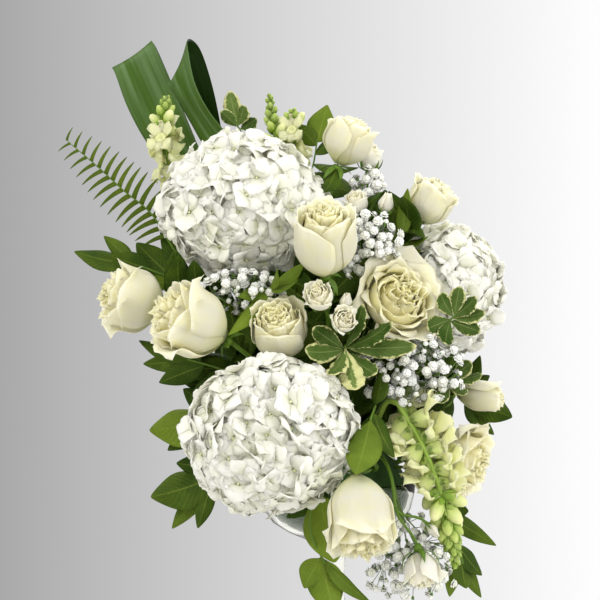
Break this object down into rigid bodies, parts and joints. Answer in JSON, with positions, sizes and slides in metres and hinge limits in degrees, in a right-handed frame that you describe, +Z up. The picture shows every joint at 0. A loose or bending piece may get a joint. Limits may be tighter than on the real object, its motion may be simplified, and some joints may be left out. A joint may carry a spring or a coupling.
{
  "type": "bouquet",
  "caption": "White and cream bouquet of hydrangeas, roses, snapdragons, baby's breath and mixed foliage, standing in a footed clear glass bowl",
  "frame": {"origin": "middle of the underside of the bowl's foot, on the surface it stands on", "axes": "+Z up, +X to the viewer's right, +Y away from the viewer of the arrangement's front"},
  "size_m": [0.4015, 0.281, 0.5362],
  "materials": {
    "glass": "clear and smooth",
    "foam": "matt, fine pores",
    "hydrangea": "soft, matt petals",
    "rose": "soft, satin petals",
    "stem": "green, satin",
    "spray_rose": "soft, satin petals",
    "snapdragon": "soft, matt florets",
    "breath": "soft, matt petals",
    "aspidistra": "waxy leaf",
    "fern": "thin, matt leaflets",
    "broad": "glossy leaf",
    "ruscus": "satin leaf",
    "pittosporum": "satin leaf with a pale edge"
  },
  "bodies": {
    "root": {"aspidistra_left": "aspidistra", "aspidistra_right": "aspidistra", "babys_breath_left": "breath", "babys_breath_low": "breath", "babys_breath_right": "breath", "babys_breath_top": "breath", "babys_breath_upper": "breath", "bowl": "glass", "broad_back_left": "broad", "broad_back_right": "broad", "broad_below_left": "broad", "broad_centre_low": "broad", "broad_front": "broad", "broad_left": "broad", "broad_low_left": "broad", "broad_low_right": "broad", "broad_lower_left": "broad", "broad_right": "broad", "fern": "fern", "foam": "foam", "hydrangea_left_head": "hydrangea", "hydrangea_left_stalk": "stem", "hydrangea_low_head": "hydrangea", "hydrangea_low_stalk": "stem", "hydrangea_right_head": "hydrangea", "hydrangea_right_stalk": "stem", "pittosporum_centre": "pittosporum", "pittosporum_low_right": "pittosporum", "pittosporum_right": "pittosporum", "pittosporum_upper": "pittosporum", "rose_centre": "rose", "rose_centre_stem": "stem", "rose_far_left": "rose", "rose_far_left_stem": "stem", "rose_hanging": "rose", "rose_hanging_stem": "stem", "rose_left": "rose", "rose_left_stem": "stem", "rose_lower_right": "rose", "rose_lower_right_stem": "stem", "rose_open": "rose", "rose_open_stem": "stem", "rose_right_bud": "rose", "rose_right_bud_stem": "stem", "rose_top": "rose", "rose_top_stem": "stem", "rose_upper_right": "rose", "rose_upper_right_stem": "stem", "rose_upright": "rose", "rose_upright_stem": "stem", "ruscus_centre": "ruscus", "ruscus_top": "ruscus", "ruscus_upper_right": "ruscus", "snapdragon_left": "snapdragon", "snapdragon_right": "snapdragon", "snapdragon_top": "snapdragon", "spray_rose_centre": "spray_rose", "spray_rose_low": "spray_rose", "spray_rose_upper": "spray_rose"}
  },
  "joints": []
}
